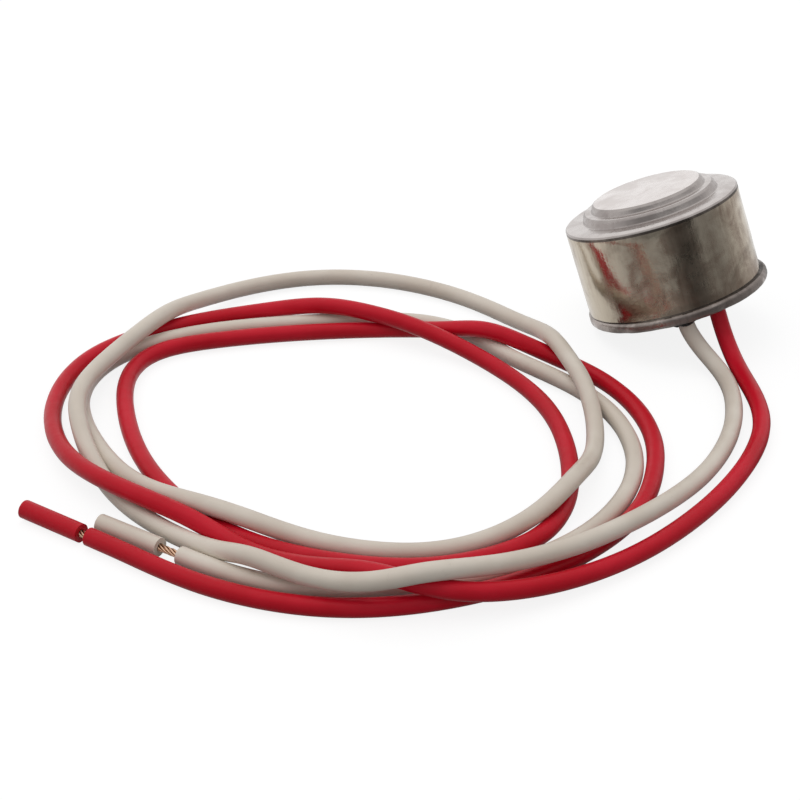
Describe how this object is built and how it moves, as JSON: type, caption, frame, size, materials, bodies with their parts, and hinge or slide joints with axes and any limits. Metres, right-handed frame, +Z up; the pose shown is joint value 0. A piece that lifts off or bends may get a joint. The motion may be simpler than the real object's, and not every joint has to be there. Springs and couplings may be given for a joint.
{
  "type": "defrost thermostat",
  "caption": "Potted disc switch in a drawn tin can with a stepped sensing face, leaning on its rim, with long loose leads in two colours.",
  "frame": {"origin": "on the surface it lies on, under the middle of the can's bounding box", "axes": "+Z up; the picture looks along +Y with +X to the right; the can's own axis leans 21.7 degrees from +Z towards -X and +Y"},
  "size_m": [0.1186, 0.1016, 0.0276],
  "materials": {
    "tin": "dull tinned sheet, drawn, with handling smudges",
    "cup_aluminium": "drawn, satin",
    "disc_metal": "rolled two-layer strip",
    "guide_plastic": "moulded, matt",
    "ceramic": "glazed ceramic",
    "phenolic": "moulded phenolic",
    "spring_copper": "rolled spring strip",
    "silver": "contact silver, burnished",
    "terminal_brass": "stamped, bright",
    "splice_metal": "tinned, satin",
    "copper": "fine twisted copper strands",
    "resin": "poured dark resin, glossy skin",
    "white_insulation": "extruded insulation, soft gloss",
    "red_insulation": "extruded insulation, soft gloss"
  },
  "bodies": {
    "housing": {"can": "tin", "sensing_cup": "cup_aluminium", "pin_guide": "guide_plastic", "switch_body": "phenolic", "fixed_contact": "silver", "line_terminal": "terminal_brass", "load_terminal": "terminal_brass", "line_rivet": "terminal_brass", "white_splice": "splice_metal", "red_splice": "splice_metal", "white_core": "copper", "red_core": "copper", "potting": "resin", "white_lead": "white_insulation", "red_lead": "red_insulation", "white_strands": "copper", "red_strands": "copper", "white_slug": "white_insulation", "red_slug": "red_insulation"},
    "plunger": {"transfer_pin": "ceramic", "bimetal_disc": "disc_metal"},
    "arm": {"contact_arm": "spring_copper", "moving_contact": "silver"}
  },
  "joints": [
    {"name": "pin_travel", "type": "slide", "parent": "housing", "child": "plunger", "axis": [-0.3065, 0.2068, 0.9291], "range_m": [0, 0.0003]},
    {"name": "arm_swing", "type": "hinge", "parent": "housing", "child": "arm", "pos_m": [-0.00515, 0.00119, 0.01728], "axis": [-0.0329, -0.9778, 0.2068], "range_deg": [0, 4.9]}
  ],
  "couplings": [
    {"joint": "arm_swing", "follows": "pin_travel", "rad_per_m": 285}
  ]
}
